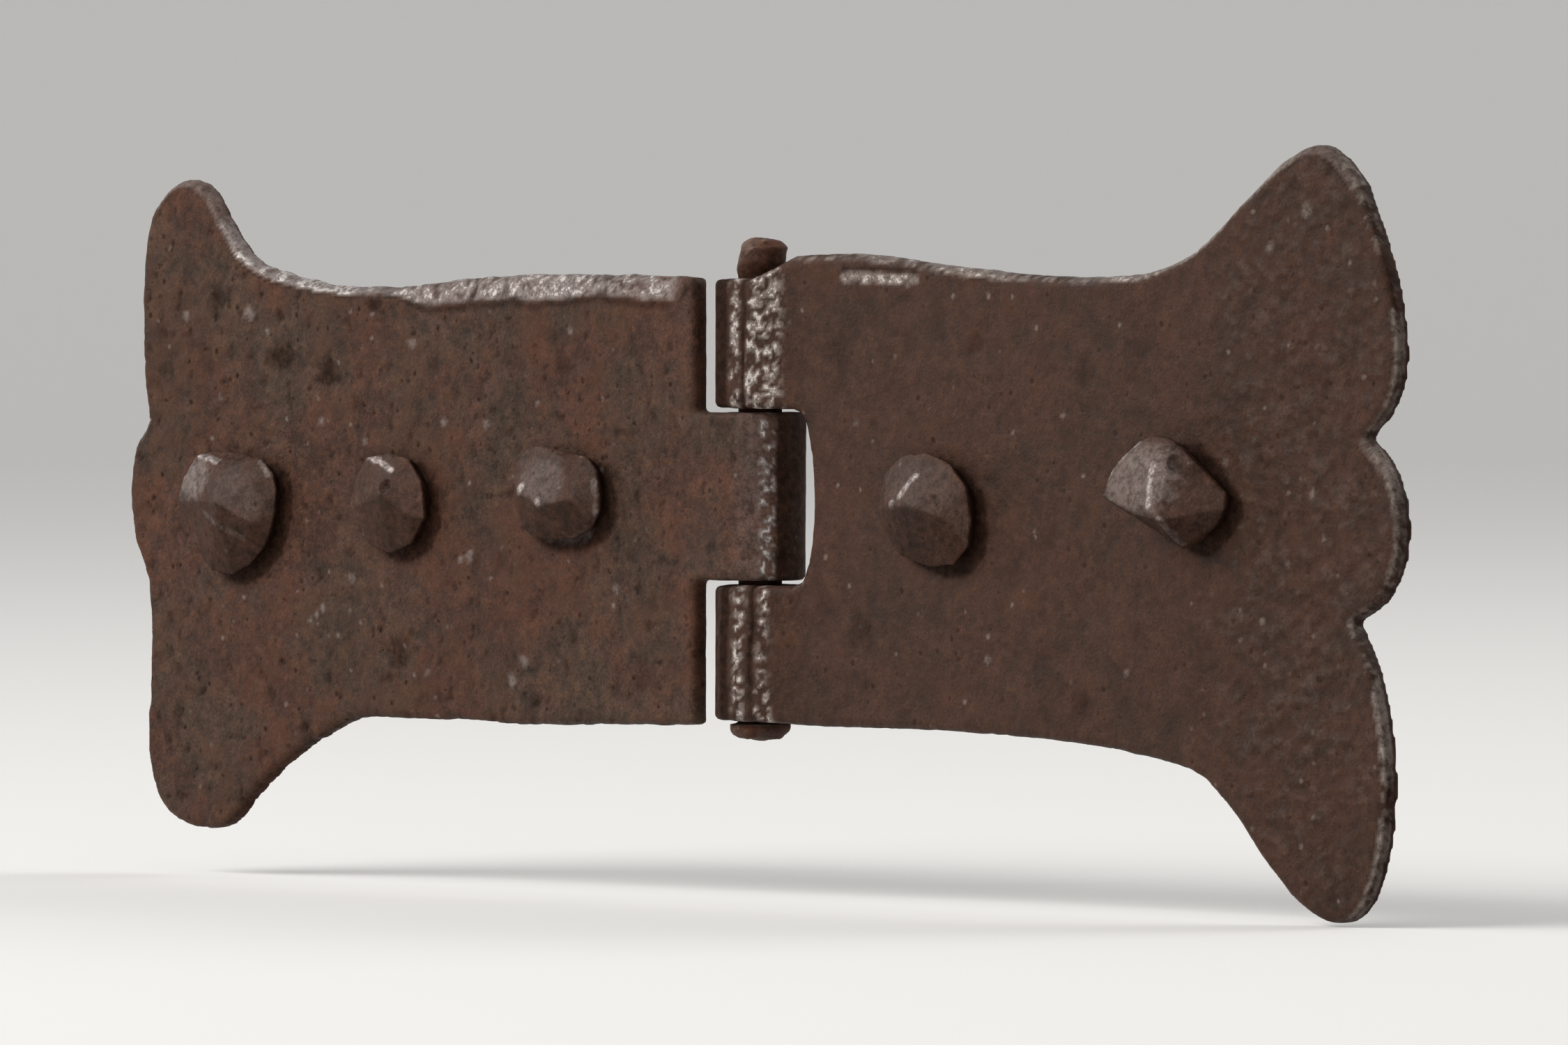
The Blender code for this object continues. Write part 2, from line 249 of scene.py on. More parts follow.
# Marks are places on a leaf, as distances from the pin's axis and heights.
# Dents: (along, height, radius, depth)
DOOR_DENTS = [
    (50.6, -16.3, 2.1, 0.26), (25.0, 13.5, 1.6, 0.12), (79.5, 19.8, 2.0, 0.10), (62.0, 12.0, 2.4, 0.12),
    (69.0, 13.8, 2.6, 0.12), (54.5, 19.5, 1.2, 0.12), (87.5, 12.5, 1.5, 0.10), (33.0, -16.5, 1.5, 0.12),
    (38.8, -6.4, 1.0, 0.10), (13.0, -17.8, 1.8, 0.10), (71.0, -21.0, 1.3, 0.08),
]
FRAME_DENTS = [
    (50.0, 12.8, 1.6, 0.06), (49.5, -19.2, 1.8, 0.07), (17.5, -12.5, 2.2, 0.06), (73.5, -17.5, 1.6, 0.08),
    (34.0, 16.0, 1.4, 0.05), (84.0, 12.0, 1.2, 0.07),
]
# Dark stains: (along, height, half length, half height, strength)
DOOR_STAINS = [
    (69.0, 14.0, 3.4, 1.5, 0.75), (62.0, 12.0, 2.6, 1.4, 0.8), (79.5, 20.0, 2.2, 1.4, 0.7),
    (54.5, 19.5, 1.4, 0.9, 0.8), (50.6, -16.3, 1.7, 2.4, 0.75), (25.0, 13.5, 1.6, 1.1, 0.6),
    (73.5, 9.0, 1.8, 1.0, 0.5), (65.5, -24.0, 1.1, 0.8, 0.8), (68.5, -21.5, 2.5, 1.2, 0.35),
    (57.0, 9.5, 1.2, 1.0, 0.5), (42.0, 10.5, 1.5, 0.8, 0.4), (88.5, 17.0, 1.0, 2.4, 0.35),
]
FRAME_STAINS = [
    (14.0, 15.0, 3.0, 2.0, 0.30), (45.0, -14.0, 3.5, 1.4, 0.25), (57.5, 15.5, 3.0, 1.5, 0.25),
    (71.0, 10.5, 3.5, 1.5, 0.30),
]
# Light flecks: (along, height, radius)
DOOR_FLECKS = [
    (62.8, 7.5, 0.5), (37.0, 7.5, 0.6), (43.5, 7.5, 0.5), (84.5, 18.3, 0.6), (74.5, 18.5, 0.9),
    (48.5, 15.5, 0.7), (39.5, -6.0, 0.8), (41.0, -6.4, 0.5), (31.0, -16.5, 0.7), (33.0, -18.5, 0.8),
    (62.5, -11.8, 0.5), (63.6, -12.4, 0.5), (64.6, -13.0, 0.4), (56.0, 5.5, 0.4), (71.5, 16.6, 0.5),
    (24.0, 17.0, 0.5), (17.0, -9.0, 0.5), (58.0, -8.6, 0.6), (79.0, 9.8, 0.4), (29.0, 9.6, 0.4),
    (46.0, -18.0, 0.4),
]
FRAME_FLECKS = [
    (76.0, 25.5, 0.7), (81.0, 29.0, 0.8), (70.0, 4.6, 0.5), (78.5, -5.0, 0.4), (82.0, 2.0, 0.5),
    (83.5, -2.5, 0.4), (47.0, 9.0, 0.4), (56.0, -16.0, 0.4), (36.0, -15.0, 0.4), (17.0, 8.0, 0.4),
    (75.0, -10.5, 0.4),
]
# A burr below the frame leaf's upper edge, from one place to another, painted as a highlight, and the crease above
# it, painted as shade
BURR = np.array([(15.2, 22.5, 0.2), (25.6, 22.3, 0.2)]) * MM
CREASE = BURR + np.array([0, 0.8, 0]) * MM
# Streaks up the outer knuckles: (heights, along, half width, strength).
# A strength above 0 is rubbed bright and partly painted highlight, and one below 0 is a groove darkened with
# painted shade.
KNUCKLE_STREAKS = [
    (TOP_KNUCKLE, 1.2, 0.9, 0.9), (TOP_KNUCKLE, 3.4, 1.1, 1.6), (TOP_KNUCKLE, 5.3, 1.9, 0.6),
    (TOP_KNUCKLE, 2.3, 0.40, -1.0), (TOP_KNUCKLE, -0.8, 1.7, -1.5), (TOP_KNUCKLE, -3.4, 3.0, -1.0),
    (BOTTOM_KNUCKLE, 1.6, 0.9, 1.0), (BOTTOM_KNUCKLE, 4.3, 0.8, 0.6), (BOTTOM_KNUCKLE, 3.1, 0.5, -1.0),
    (BOTTOM_KNUCKLE, -0.4, 1.2, -1.3), (BOTTOM_KNUCKLE, -3.0, 3.0, -0.8),
    ((BOTTOM_KNUCKLE[0], -19.6), 4.0, 1.60, 1.0),
]

# How each leaf was forged, and how it has worn. side is 1 for the leaf that runs to +X
# and -1 for the other. rustiness scales the pits, the lumps and the rust, and horn_grain
# the fine ripple of the wide end. bevel is the upper bevel's width near the pin, in the
# middle and far from it, then its drop. bevel_shine is how bright its wear and painted
# highlight are at BRIGHT_BEVEL and elsewhere.
LEAVES = {
    "frame": {
        "side": 1, "rustiness": 0.3, "horn_grain": 1.0,
        "bevel": (0.8 * MM, 0.8 * MM, 1.1 * MM, 0.35 * MM), "bevel_shine": (0.9, 0.8),
        "dents": FRAME_DENTS, "stains": FRAME_STAINS, "flecks": FRAME_FLECKS},
    "door": {
        "side": -1, "rustiness": 0.85, "horn_grain": 0.4,
        "bevel": (2.4 * MM, 1.0 * MM, 0.9 * MM, 0.70 * MM), "bevel_shine": (1.8, 0.85),
        "dents": DOOR_DENTS, "stains": DOOR_STAINS, "flecks": DOOR_FLECKS},
}

# Stretches along a leaf, from the pin's axis, over which it changes
FLAT_BEGINS = (6.5 * MM, 10 * MM)
BEVEL_MIDDLE = (45 * MM, 52 * MM)
BEVEL_FAR = (74 * MM, 80 * MM)
HORN_BEGINS = (58 * MM, 76 * MM)
TAIL_BEGINS = (52 * MM, 78 * MM)
BARREL_ENDS = (3.9 * MM, 6.5 * MM)
STREAKS_END = (6 * MM, 8 * MM)
OUTER_ARRIS_BEGINS = (60 * MM, 80 * MM)
EVEN_WEAR_BEGINS = (46 * MM, 56 * MM)
BEVEL_DULLS = (77 * MM, 82 * MM)
# Middles and half lengths of the bevel's brightest stretch and of the rubbed horn tip, both worn and painted with
# highlight
BRIGHT_BEVEL = (68 * MM, 16 * MM)
BRIGHT_TIP = (79 * MM, 9 * MM)

# Sizes of the marks that forging leaves, and their depths in mm
SWELL_SIZE, SWELL_DEPTH = 19 * MM, 0.12
BLOW_SIZE, BLOW_DEPTH = 7.5 * MM, 0.06
LUMP_SIZE, LUMP_DEPTH = 2.6 * MM, 0.06
FINE_SIZE, FINE_DEPTH = 0.95 * MM, 0.022
PIT_SIZE, PIT_DEPTH = 1.6 * MM, 0.08
RIPPLE_SIZE, RIPPLE_DEPTH = 1.5 * MM, 0.17
GROOVE_DEPTH = 0.10
ARRIS_WIDTH, ARRIS_DROP = 0.9 * MM, 0.12 * MM
RAGGED_SIZE = 7 * MM
WAVER_SIZE = 9 * MM
SPECKLE_SIZE = 0.8 * MM

# Turns round the middle knuckle, in degrees from the front: middles and half widths of its lit side, a painted
# highlight, and of its rubbed line, partly painted highlight, and the turns over which painted shade darkens it
LIT_SIDE = (40, 42)
RUBBED_LINE = (57, 15)
SHADED_SIDE = (66, 72)

# How bright each kind of wear and painted highlight is. The up-facing arrises, the tip and the knuckles' streaks,
# speckles and rubbed line are partly painted highlight, and the burr's line and the lit side are painted
# highlight. The sum is cut off at 1 where it is stored.
ARRIS_WEAR = 0.35
CREST_WEAR = 0.12
TIP_WEAR = 0.55
BURR_HIGHLIGHT = 0.85
FLECK_WEAR = 0.4
RIPPLE_WEAR = 0.07
BARREL_WEAR = 0.25
STREAK_WEAR = 1.9
LIT_SIDE_HIGHLIGHT = 0.16
RUBBED_LINE_WEAR = 1.8

# How dark each kind of dirt and painted shade is, from 0 to 1. On the walls, round the nails, in the angle under
# the bevel and in the crease it is painted shade and shadow.
HOLLOW_DIRT = 0.6
DENT_DIRT = 0.5
PIT_DIRT = 0.55
LUMP_DIRT = 0.35
WALL_SHADE = 0.45
NAIL_EDGE_SHADOW = 0.85
NAIL_HALO_SHADOW = 0.25
BEVEL_DIRT = 0.5
UNDER_BEVEL_SHADE = 0.65
CREASE_SHADE = 0.7
TAIL_DIRT = 0.16

# Makes the ripple about half as high as it is long, and turns its noise off the leaf's axes
STROKES = np.array([[0.80, 0.60, 0], [-1.1, 1.5, 0], [0, 0, 1]])

# Painted shadow round a nail, on the leaf, lies to the right of its head and below it
NAIL_SHADOW_SHIFT = (0.9 * MM, -0.8 * MM)


class Leaf:
    """A leaf's fine mesh, with what the forging steps need to know of each vertex.

    along and height are its place, and share is 0 on the back face and 1 on the front.
    to_wall, wall_up and wall_out are its distance from the edge and the way the edge faces.
    """

    def __init__(self, node, side, back, rustiness):
        self.piece = fine_piece(node, LEAF_VOXEL, 1)
        self.mesh = self.piece.data
        self.side = side
        self.rustiness = rustiness
        self.co = read_points(self.mesh)
        self.edges = read_edges(self.mesh)
        self.along = side * (self.co[:, 0] - AXIS.x)
        self.height = self.co[:, 2].copy()
        self.share = np.clip((back - self.co[:, 1]) / PLATE, 0, 1)
        self.flat = step_up(self.along, *FLAT_BEGINS)
        tree = wall_tree(node, side)
        found = [tree.find_nearest(Vector(p)) for p in self.co]
        self.to_wall = np.array([hit[3] for hit in found])
        self.wall_up = np.array([hit[1].z for hit in found])
        self.wall_out = side * np.array([hit[1].x for hit in found])
        self.plan = np.stack([self.along, self.height, self.share * 0.2 * MM], 1)
        self.ragged = grain(self.plan, RAGGED_SIZE, 3, seed=side)
        self.lumps = grain(self.plan, LUMP_SIZE, 4, seed=5 + side)
        self.marks = np.zeros(len(self.co))

    def bevel(self, near, middle, far, drop):
        """Slopes the upper edge off towards the front, by bevels of three widths."""
        width = near + (middle - near) * step_up(self.along, *BEVEL_MIDDLE)
        width += (far - middle) * step_up(self.along, *BEVEL_FAR)
        self.bevel_width = width * (1 + 0.22 * self.ragged)
        self.upper = step_up(self.wall_up, 0.45, 0.70) * self.flat
        slope = np.clip(1 - self.to_wall / self.bevel_width, 0, 1) * drop * self.upper
        arris = np.clip(1 - self.to_wall / ARRIS_WIDTH, 0, 1) ** 2 * ARRIS_DROP * self.flat
        self.co[:, 1] += self.share * (slope + arris)
        near_edge = np.exp(-(self.to_wall / (0.6 * MM)) ** 2) * (1 - self.upper)
        self.co = relaxed(self.co, self.edges, 0.12 + 0.5 * near_edge * (0.6 + 0.4 * self.ragged), 2)
        write_points(self.mesh, self.co)

    def hammer(self, dents, horn_grain):
        """Hammer marks, scale, pits and dents, along the normals."""
        plan, side, rustiness = self.plan, self.side, self.rustiness
        self.swell = grain(plan, SWELL_SIZE, 2, seed=2 + side)
        self.pits = step_up(grain(plan, PIT_SIZE, 2, seed=8 + side), 0.30, 0.70)
        fine = grain(plan, FINE_SIZE, 2, seed=23 + side)
        blows = dishes(plan, BLOW_SIZE, seed=1 + side)
        horn = step_up(self.along, *HORN_BEGINS) * horn_grain
        face = step_up(self.to_wall, 0.5 * MM, 2.0 * MM) * step_up(self.share, 0.6, 0.9)
        self.ripple = grain(plan @ STROKES, RIPPLE_SIZE, 2, seed=11 + side) * horn * face
        offset = SWELL_DEPTH * self.swell + BLOW_DEPTH * blows
        offset += LUMP_DEPTH * self.lumps * (0.6 + 1.5 * rustiness)
        offset += FINE_DEPTH * fine - PIT_DEPTH * self.pits * (0.3 + rustiness)
        offset += RIPPLE_DEPTH * self.ripple
        offset *= 0.35 + 0.65 * self.flat
        for place, height, radius, depth in dents:
            reach = np.hypot(self.along / MM - place, self.height / MM - height) / radius
            bowl = np.clip(1 - (reach * (1 + 0.35 * self.lumps)) ** 2, 0, 1) * (self.share > 0.5)
            offset -= depth * bowl
            self.marks = np.maximum(self.marks, bowl)
        self.streaks = self.streaked() if side > 0 else np.zeros(len(self.co))
        offset += GROOVE_DEPTH * np.minimum(self.streaks, 0)
        # edges waver a little, as a hand-cut outline does
        near_edge = np.exp(-(self.to_wall / (0.9 * MM)) ** 2)
        waver = 0.05 + 0.03 * rustiness
        offset += waver * near_edge * grain(plan, WAVER_SIZE, 2, seed=14 + side) * self.flat
        self.co = self.co + read_normals(self.mesh) * (offset * MM)[:, None]
        write_points(self.mesh, self.co)

    def streaked(self):
        """Bright and dark streaks up the frame leaf's knuckles, from 1 to -1."""
        out = AXIS.y - self.co[:, 1]
        barrel = (1 - step_up(self.along, *STREAKS_END)) * step_up(out, 0.5 * MM, 2 * MM)
        wander = 0.32 * grain(self.co * np.array([0.2, 0.2, 1.0]), 5 * MM, 2, seed=31)
        place = self.along / MM + wander
        total = np.zeros(len(self.co))
        for (low, high), along, half_width, strength in KNUCKLE_STREAKS:
            inside = (self.height > (low - 1) * MM) & (self.height < (high + 1) * MM)
            total += bump_at(place, along, half_width) * strength * inside
        return np.clip(total * barrel, -1, 1)

    def paint(self, stains, flecks, nails, bevel_shine):
        """Stores where the leaf is worn, rusty and dirty, and where highlights, shade and shadows are painted on
        it.
        """
        self.normals = read_normals(self.mesh)
        self.bulge = convexity(self.co, self.normals, self.edges, LEAF_VOXEL)
        self.front = self.share > 0.3
        self.speckle = grain(self.co, SPECKLE_SIZE, 3, seed=21)
        self.across_bevel = self.to_wall / self.bevel_width
        self.on_bevel = self.upper * (1 - step_up(self.across_bevel, 0.80, 1.0)) * self.front

        rubbed_and_lit, shaded = self.worn_knuckles()
        wear_and_highlight = np.maximum(self.worn_edges(), self.worn_bevel(*bevel_shine))
        wear_and_highlight = np.maximum(wear_and_highlight, np.maximum(rubbed_and_lit, self.bare_spots(flecks)))
        wear_and_highlight += RIPPLE_WEAR * step_up(self.ripple, 0.10, 0.50) * self.front
        wear_and_highlight *= 1 - 0.85 * np.clip(shaded, 0, 1)
        rust = self.rustiness * (0.45 + 0.75 * self.swell + 0.35 * self.lumps) - self.marks
        store(self.mesh, "wear_and_highlight", wear_and_highlight)
        store(self.mesh, "rust", rust)
        store(self.mesh, "grime_and_shade", self.grime_and_shade(stains, nails, shaded))

    def worn_edges(self):
        """Wear on the crests, and worn metal with painted highlight on the arrises that face up or, on the frame
        leaf, out.
        """
        facing_up = np.clip(self.wall_up, 0, 1)
        rim = 1 - step_up(self.to_wall, 0.25 * MM, 0.75 * MM)
        outer = np.clip(self.wall_out, 0, 1) * step_up(self.along, *OUTER_ARRIS_BEGINS) * (self.side > 0)
        # arrises that face up or out are brightened as painted highlight as well as wear
        exposed = ARRIS_WEAR * facing_up + (0.75 + 0.3 * (self.height < -15 * MM)) * outer
        patchy = step_up(self.ragged + self.speckle, -0.6, 0.4)
        arrises = rim * exposed * patchy * self.front * self.flat
        crests = step_up(self.bulge, 0.12, 0.36) * CREST_WEAR * self.front
        # the horn tip's upper arris is worn and painted with highlight
        tip = bump_at(self.along, *BRIGHT_TIP) * facing_up * (self.side > 0)
        tip *= 1 - step_up(self.to_wall, 0.5 * MM, 1.4 * MM)
        tip = TIP_WEAR * tip * step_up(self.lumps + self.speckle, -0.7, 0.3) * self.front
        return np.maximum.reduce([arrises, crests, tip])

    def worn_bevel(self, bright, dull):
        """Wear and painted highlight on the upper bevel, in patches near the pin and more even beyond."""
        level = dull + (bright - dull) * bump_at(self.along, *BRIGHT_BEVEL)
        level *= 1 - 0.55 * step_up(self.along, *BEVEL_DULLS)
        patchy = step_up(self.ragged + 1.5 * self.speckle + 0.6 * self.lumps, -0.7, 0.5)
        whole = 0.20 + 0.45 * step_up(self.along, *EVEN_WEAR_BEGINS)
        return self.on_bevel * level * (whole + (1 - whole) * patchy)

    def worn_knuckles(self):
        """Wear and painted highlight at the knuckles' crests, in streaks on the frame leaf's, and painted shade on
        their dark sides.
        """
        speckle = self.speckle
        out = AXIS.y - self.co[:, 1]
        barrel = (1 - step_up(self.along, *BARREL_ENDS)) * step_up(out, 0.2 * MM, 1.2 * MM)
        if self.side > 0:
            # the streaks are worn bright and painted with highlight, their grooves are painted with shade, and the
            # barrel's front is speckled with wear and painted highlight
            rubbed_and_lit = STREAK_WEAR * np.maximum(self.streaks, 0) * step_up(speckle, -0.10, 0.15)
            rubbed_and_lit += BARREL_WEAR * barrel * step_up(speckle, 0.2, 0.6)
            shaded = np.maximum(-self.streaks, 0)
        else:
            # the middle knuckle: painted highlight on its lit side, a rubbed line that is partly painted
            # highlight, and painted shade on the side that turns away
            turn = np.degrees(np.arctan2(self.co[:, 0] - AXIS.x, out))
            lit = bump_at(turn, *LIT_SIDE) * LIT_SIDE_HIGHLIGHT
            line = RUBBED_LINE_WEAR * bump_at(turn, *RUBBED_LINE) * step_up(speckle, 0.02, 0.25)
            rubbed_and_lit = barrel * (lit + line)
            shaded = 0.9 * step_up(turn + 3 * speckle, *SHADED_SIDE) * (self.along < EYE_R)
        return rubbed_and_lit, shaded

    def bare_spots(self, flecks):
        """A painted highlight along the frame leaf's burr, and flecks of bare metal and dust."""
        spots = np.zeros(len(self.co))
        if self.side > 0:
            burr = distance_to_line(self.plan, *BURR) / MM
            spots = BURR_HIGHLIGHT * (1 - step_up(burr + 0.3 * self.speckle, 0.25, 0.75))
        for place, up, radius in flecks:
            reach = np.hypot(self.along / MM - place, self.height / MM - up) / radius
            fleck = FLECK_WEAR * (1 - step_up(reach * (1 + 0.5 * self.speckle), 0.4, 1.1))
            spots = np.maximum(spots, fleck)
        return spots * self.front

    def grime_and_shade(self, stains, nails, shaded):
        """Dirt in the hollows and stains and on the bevel, and painted shade and shadow round the nails, on the
        walls, on the knuckles and in the angle below the bevel.
        """
        along, speckle, front = self.along, self.speckle, self.front
        # shaded is the painted shade on the knuckles
        hollows = step_up(-self.bulge, 0.05, 0.30) * HOLLOW_DIRT + DENT_DIRT * self.marks + shaded
        low_places = PIT_DIRT * self.pits + LUMP_DIRT * step_up(-self.lumps, 0.15, 0.75)
        layers = [hollows + self.rustiness * low_places]
        for place, up, half_length, half_height, strength in stains:
            reach = np.hypot((along / MM - place) / half_length, (self.height / MM - up) / half_height)
            layers.append(strength * (1 - step_up(reach * (1 + 0.45 * speckle), 0.35, 1.15)) * front)
        # painted shadow that each nail head casts on the leaf, to the lower right of it
        for nail in nails:
            beyond = beyond_head(nail, self.co, NAIL_SHADOW_SHIFT) / MM
            core = NAIL_EDGE_SHADOW * (1 - step_up(beyond + 0.15 * speckle, 0.0, 0.35))
            halo = NAIL_HALO_SHADOW * (1 - step_up(beyond, 0.0, 1.8))
            layers.append(np.maximum(core, halo) * front * self.flat)

        # painted shade on the edge walls, darkest where they face right, and none where they face up
        to_right, to_top = self.normals[:, 0], self.normals[:, 2]
        wall = step_up(np.hypot(to_right, to_top), 0.75, 0.95) * self.flat
        shade = WALL_SHADE + 0.45 * np.clip(to_right, 0, 1) - 0.5 * np.clip(to_top, 0, 1)
        layers.append(wall * shade)

        # the bevel keeps some dirt within 60 mm of the pin, and painted shade lies in the angle below it
        chosen = step_up(-self.ragged - speckle, 0.1, 0.9) * step_up(60 * MM - along, 0, 10 * MM)
        layers.append(BEVEL_DIRT * self.on_bevel * chosen)
        under_bevel = self.upper * bump_at(self.across_bevel, 1.12, 0.30) * front
        layers.append(UNDER_BEVEL_SHADE * under_bevel * step_up(self.bevel_width, 0.8 * MM, 1.0 * MM))

        # the frame leaf's tail is dull, and painted shade lies in the crease above its burr
        if self.side > 0:
            layers.append(TAIL_DIRT * step_up(along, *TAIL_BEGINS) * front)
            crease = distance_to_line(self.plan, *CREASE) / MM
            layers.append(CREASE_SHADE * (1 - step_up(crease + 0.2 * speckle, 0.1, 0.5)) * front)
        return np.maximum.reduce(layers)


# ---- forging: nails and pin ----------------------------------------------

# Places on a nail head are (sideways, up, height above the leaf), in mm.
# Painted glints and highlights, partly rubbed metal, in lines and patches: (from, to, radius, strength)
GLINTS = {
    "frame_nail_inner": [
        ((0.2, 3.1, 2.8), (-1.3, 1.3, 3.4), 0.50, 1.0), ((-2.4, 0.4, 3.5), (-2.5, 0.4, 3.4), 0.55, 0.9),
        ((-0.6, 2.4, 2.9), (2.9, 2.0, 3.2), 3.2, 0.10)],
    "frame_nail_outer": [
        ((1.9, -1.5, 5.4), (2.7, -4.0, 2.8), 0.45, 0.9), ((-5.5, 2.7, 4.9), (-2.7, 6.0, 3.7), 0.40, 0.9),
        ((-3.2, 2.6, 4.9), (0.0, 2.6, 5.0), 3.6, 0.42), ((0.4, 3.8, 4.7), (0.4, 0.0, 5.3), 0.5, 1.0)],
    "door_nail_inner": [
        ((-4.1, 0.6, 2.7), (-3.8, 0.9, 2.7), 0.60, 1.0), ((-0.9, -0.6, 3.1), (-0.7, -0.8, 3.2), 0.50, 0.9),
        ((-2.2, 1.8, 2.8), (0.6, 1.4, 3.0), 2.4, 0.24), ((5.9, 1.6, 1.4), (6.0, -2.2, 1.2), 0.40, 0.6),
        ((6.0, -2.2, 1.2), (2.6, -3.9, 1.1), 0.35, 0.5)],
    "door_nail_middle": [
        ((-2.2, 4.8, 1.6), (-0.4, 4.4, 1.9), 0.45, 1.0), ((-0.4, 4.4, 1.9), (2.0, 3.4, 2.2), 0.35, 1.0)],
    "door_nail_outer": [
        ((-4.8, 3.6, 2.3), (-2.6, 3.4, 2.8), 2.2, 0.50), ((-3.5, 5.9, 1.9), (0.4, 5.3, 2.7), 0.45, 0.9),
        ((5.6, 5.2, 1.3), (7.0, 3.9, 1.4), 0.30, 0.45), ((-1.4, 0.2, 3.9), (4.2, -2.6, 2.6), 0.40, 0.55),
        ((3.4, 2.6, 3.3), (4.6, 0.6, 3.1), 2.6, 0.14)],
}
GLINT_LIFT = 0.2              # extra height of every rubbed line
# Chips out of a head: (sideways, up, height, radius)
CHIPS = {
    "frame_nail_inner": [(0.9, 2.5, 4.2, 0.9)],
    "frame_nail_outer": [(3.3, 4.6, 4.3, 1.4)],
    "door_nail_inner": [(1.5, 3.0, 3.6, 0.8)],
    "door_nail_middle": [(1.9, 2.0, 3.7, 1.0)],
    "door_nail_outer": [(1.4, 3.4, 4.9, 1.1), (-6.7, -3.4, 2.0, 2.9)],
}
LIT_WAY = np.array([-0.52, -0.55, 0.65])    # the side from which light falls on heads and pin, for their painted highlights and shade

# Sizes of the lumps and the fine grain on nails and pin, and their depths in mm
NAIL_LUMP_SIZE, NAIL_LUMP_DEPTH = 2.4 * MM, 0.07
NAIL_FINE_SIZE, NAIL_FINE_DEPTH = 0.7 * MM, 0.045
RIM_SINK = 0.15 * MM          # how far a head's rim goes below the leaf's face
PIN_LUMP_SIZE, PIN_LUMP_DEPTH = 2.0 * MM, 0.15
PIN_FINE_SIZE, PIN_FINE_DEPTH = 0.8 * MM, 0.05
PIN_SHANK_DEPTH = 0.02        # of the lumps between the pin's ends
PIN_TOP = 2.4 * MM            # length of the struck end, then how it leans and slopes
PIN_TOP_LEAN = 0.25 * MM
PIN_TOP_SLOPE = 0.12
# Wear with painted highlight on the pin's crests, painted highlight where it faces the light, dirt on its shank
# and painted shade on its far side
PIN_CREST_WEAR = 0.7
PIN_LIT_HIGHLIGHT = 0.25
PIN_SHANK_DIRT = 0.6
PIN_FAR_SIDE_SHADE = 0.4

# How bright the painted highlight on a head is where it faces the light and on its right, and the wear and painted
# highlight at its crests
HEAD_LIT_HIGHLIGHT = 0.11
HEAD_RIGHT_HIGHLIGHT = 0.05
HEAD_CREST_WEAR = 0.3
# How dark its dirt is in hollows and everywhere, and its painted shade low on the rim and underneath
HEAD_HOLLOW_DIRT = 0.7
HEAD_RIM_SHADE = 0.9
HEAD_BELOW_SHADE = 0.45
HEAD_DIRT = 0.12


def chipped(co, centre, radius):
    """Points inside the ball are pushed out to its surface, which leaves a round chip."""
    away = co - centre
    distance = np.linalg.norm(away, axis=1)
    inside = distance < radius
    away[inside] *= (radius / np.maximum(distance[inside], 1e-9))[:, None]
    return centre + away


